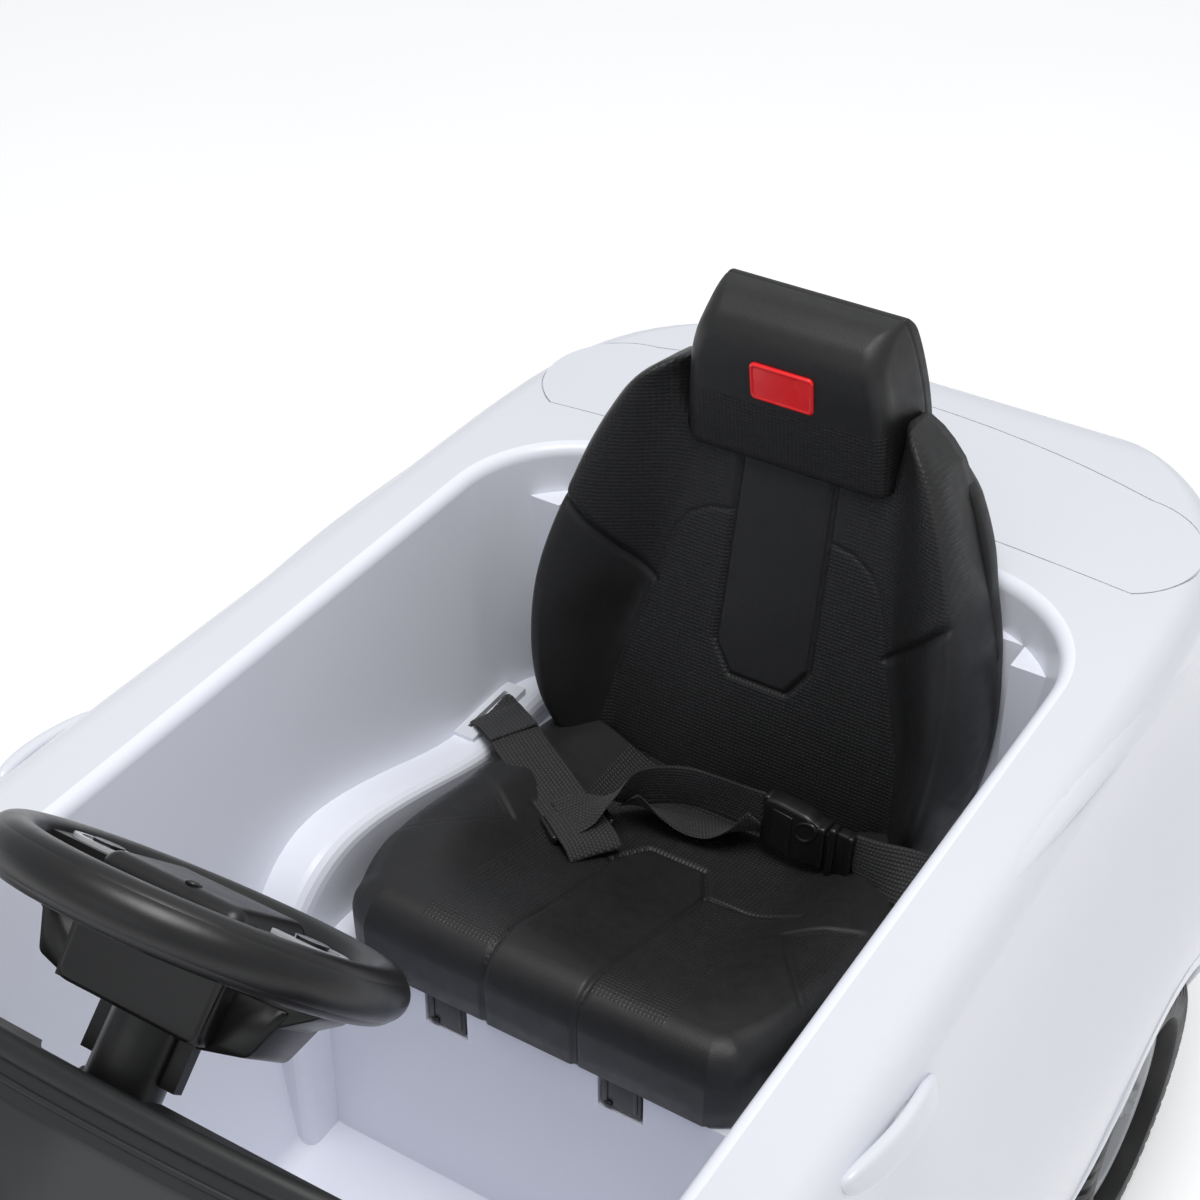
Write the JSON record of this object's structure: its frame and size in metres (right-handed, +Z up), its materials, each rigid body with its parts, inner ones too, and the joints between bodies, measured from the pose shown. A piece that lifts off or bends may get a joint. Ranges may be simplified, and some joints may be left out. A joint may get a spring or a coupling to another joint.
{
  "type": "electric ride-on car",
  "caption": "Open one-seat electric ride-on car for a small child, with a white shell, black bucket seat, lap belt, linked steering and geared rear drive.",
  "frame": {"origin": "ground level under the middle of the car", "axes": "-Y to the front, +X to the car's left, +Z up"},
  "size_m": [0.571, 1.12, 0.5964],
  "materials": {
    "white_shell": "gloss blow-moulded shell",
    "black_plastic": "satin moulded",
    "dark_grey_plastic": "fine grain",
    "smoked_pane": "smoked gloss",
    "seat_black": "textured",
    "webbing": "woven",
    "red_plate": "gloss",
    "lens_clear": "clear gloss",
    "lens_red": "clear gloss",
    "tyre_black": "blow-moulded tread",
    "silver_plastic": "metallic paint",
    "steel": "zinc plated",
    "nylon": "moulded",
    "pinion_metal": "machined",
    "mirror_face": "bright"
  },
  "bodies": {
    "car": {"battery": "black_plastic", "belt_slider": "black_plastic", "belt_slot_bezels": "white_shell", "belt_strap_left": "webbing", "belt_strap_right": "webbing", "body_shell": "white_shell", "buckle_socket": "black_plastic", "buckle_tongue": "black_plastic", "charge_socket": "black_plastic", "chassis_pan": "black_plastic", "cockpit_tub": "white_shell", "column_bush": "nylon", "control_box": "black_plastic", "dashboard": "dark_grey_plastic", "door_handles": "white_shell", "front_grille": "black_plastic", "gearbox_case": "black_plastic", "gearbox_cover": "black_plastic", "headlight_lenses": "lens_clear", "headrest": "seat_black", "headrest_badge": "red_plate", "kingpins": "steel", "mirror_glasses": "mirror_face", "mirror_housings": "white_shell", "motor": "steel", "pedal_bracket": "black_plastic", "rear_axle": "steel", "rear_axle_nuts": "steel", "rear_deck_panel": "white_shell", "seat_back": "seat_black", "seat_back_cover": "seat_black", "seat_base": "seat_black", "tail_lights": "lens_red", "wheel_arch_liners": "black_plastic", "windscreen_frame": "black_plastic", "windscreen_pane": "smoked_pane"},
    "steering": {"steering_wheel_front": "black_plastic", "steering_wheel_rear": "black_plastic", "steering_column": "steel", "steering_bolt": "steel"},
    "horn_left": {"horn_button_left": "silver_plastic"},
    "horn_right": {"horn_button_right": "silver_plastic"},
    "knuckle_left": {"knuckle_left": "steel"},
    "knuckle_right": {"knuckle_right": "steel"},
    "tie_rod": {"tie_rod": "steel"},
    "wheel_front_left": {"tyre_front_left": "tyre_black", "wheel_cover_front_left": "silver_plastic"},
    "wheel_front_right": {"tyre_front_right": "tyre_black", "wheel_cover_front_right": "silver_plastic"},
    "wheel_rear_left": {"tyre_rear_left": "tyre_black", "wheel_cover_rear_left": "silver_plastic", "output_gear": "nylon"},
    "wheel_rear_right": {"tyre_rear_right": "tyre_black", "wheel_cover_rear_right": "silver_plastic"},
    "idler": {"idler_gear": "nylon"},
    "motor_rotor": {"motor_pinion": "pinion_metal"},
    "pedal": {"pedal": "black_plastic"},
    "power_button": {"power_button": "red_plate"},
    "gear_switch": {"gear_switch": "black_plastic"}
  },
  "joints": [
    {"name": "steering_turn", "type": "hinge", "parent": "car", "child": "steering", "pos_m": [0, -0.182, 0.526], "axis": [0, 0.7373, 0.6756], "range_deg": [-32, 32]},
    {"name": "horn_left_press", "type": "slide", "parent": "steering", "child": "horn_left", "axis": [0, -0.7373, -0.6756], "range_m": [0, 0.0015], "stiffness_N_per_m": 900},
    {"name": "horn_right_press", "type": "slide", "parent": "steering", "child": "horn_right", "axis": [0, -0.7373, -0.6756], "range_m": [0, 0.0015], "stiffness_N_per_m": 900},
    {"name": "knuckle_left_turn", "type": "hinge", "parent": "car", "child": "knuckle_left", "pos_m": [0.196, -0.362, 0.098], "axis": [0, 0, 1], "range_deg": [-20, 20]},
    {"name": "knuckle_right_turn", "type": "hinge", "parent": "car", "child": "knuckle_right", "pos_m": [-0.196, -0.362, 0.098], "axis": [0, 0, 1], "range_deg": [-20, 20]},
    {"name": "tie_rod_pivot", "type": "hinge", "parent": "knuckle_left", "child": "tie_rod", "pos_m": [0.196, -0.41, 0.114], "axis": [0, 0, 1], "range_deg": [-20, 20]},
    {"name": "wheel_front_left_spin", "type": "hinge", "parent": "knuckle_left", "child": "wheel_front_left", "pos_m": [0.245, -0.362, 0.098], "axis": [1, 0, 0], "continuous": true},
    {"name": "wheel_front_right_spin", "type": "hinge", "parent": "knuckle_right", "child": "wheel_front_right", "pos_m": [-0.245, -0.362, 0.098], "axis": [1, 0, 0], "continuous": true},
    {"name": "wheel_rear_left_spin", "type": "hinge", "parent": "car", "child": "wheel_rear_left", "pos_m": [0.245, 0.295, 0.098], "axis": [1, 0, 0], "continuous": true},
    {"name": "wheel_rear_right_spin", "type": "hinge", "parent": "car", "child": "wheel_rear_right", "pos_m": [-0.245, 0.295, 0.098], "axis": [1, 0, 0], "continuous": true},
    {"name": "idler_spin", "type": "hinge", "parent": "car", "child": "idler", "pos_m": [0.17, 0.25603, 0.1205], "axis": [1, 0, 0], "continuous": true},
    {"name": "motor_spin", "type": "hinge", "parent": "car", "child": "motor_rotor", "pos_m": [0.17, 0.22003, 0.1205], "axis": [1, 0, 0], "continuous": true},
    {"name": "pedal_press", "type": "hinge", "parent": "car", "child": "pedal", "pos_m": [-0.072, -0.196, 0.086], "axis": [1, 0, 0], "range_deg": [0, 12], "stiffness_Nm_per_rad": 4, "springref_deg": -6.88},
    {"name": "power_press", "type": "slide", "parent": "car", "child": "power_button", "axis": [0, -1, 0], "range_m": [0, 0.002], "stiffness_N_per_m": 900},
    {"name": "gear_switch_rock", "type": "hinge", "parent": "car", "child": "gear_switch", "pos_m": [-0.082, -0.241, 0.372], "axis": [1, 0, 0], "range_deg": [-10, 10]}
  ],
  "couplings": [
    {"joint": "knuckle_left_turn", "follows": "steering_turn", "ratio": 0.625},
    {"joint": "knuckle_right_turn", "follows": "steering_turn", "ratio": 0.625},
    {"joint": "tie_rod_pivot", "follows": "steering_turn", "ratio": -0.625},
    {"joint": "idler_spin", "follows": "wheel_rear_left_spin", "ratio": -4},
    {"joint": "motor_spin", "follows": "wheel_rear_left_spin", "ratio": 12}
  ]
}
